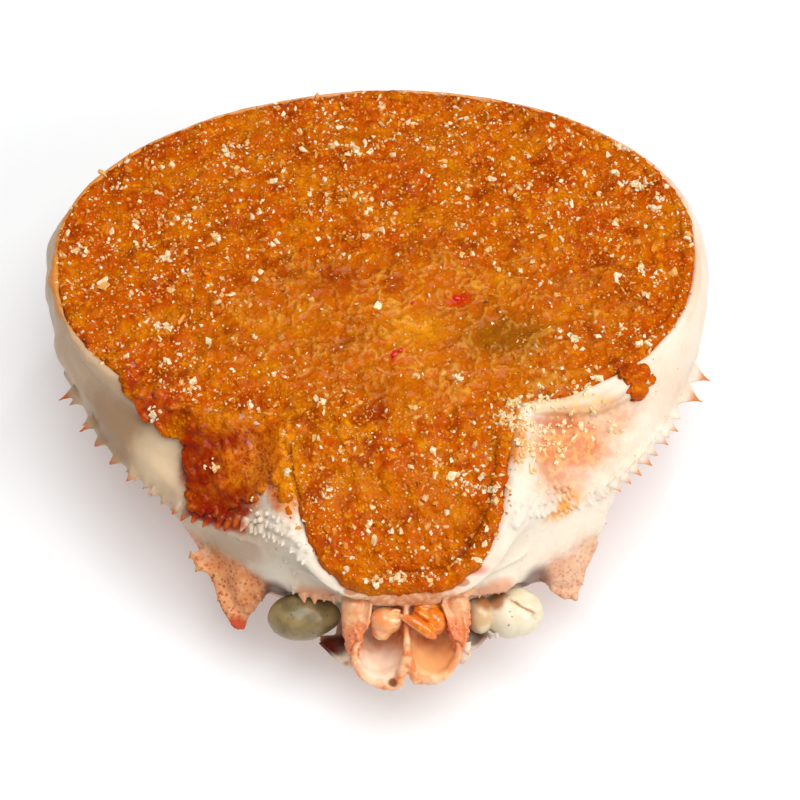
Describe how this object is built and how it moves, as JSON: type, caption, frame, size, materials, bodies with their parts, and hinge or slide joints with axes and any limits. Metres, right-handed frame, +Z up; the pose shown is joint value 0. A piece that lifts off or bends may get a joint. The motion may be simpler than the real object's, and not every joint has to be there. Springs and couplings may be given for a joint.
{
  "type": "stuffed crab shell",
  "caption": "Cooked crab: a crab's back shell lying upside down, filled level with its rim and baked to a browned, crumbed crust, eyes and small antenna limbs still at its face",
  "frame": {"origin": "centre of the small flat spot on the underside of the shell, where it rests", "axes": "+X to the viewer's right with the crab's face toward the viewer, -Y out of the face, +Z up out of the filling"},
  "size_m": [0.1335, 0.13, 0.0429],
  "materials": {
    "shell": "cooked crab shell: cream-white with orange-red mottling, satin",
    "filling": "browned baked crust with breadcrumbs, a little oily",
    "eye": "wet grey-green",
    "eye_stalk": "wet grey-cream",
    "small_limb": "cooked shell, cream to orange, satin",
    "antennule": "wet orange"
  },
  "bodies": {
    "root": {"carapace": "shell", "filling": "filling", "eye_left": "eye", "eye_right": "eye", "eye_stalk_right": "eye_stalk", "antenna_base_left": "small_limb", "antenna_base_right": "small_limb", "antennule_left": "antennule", "antennule_right": "antennule"}
  },
  "joints": []
}
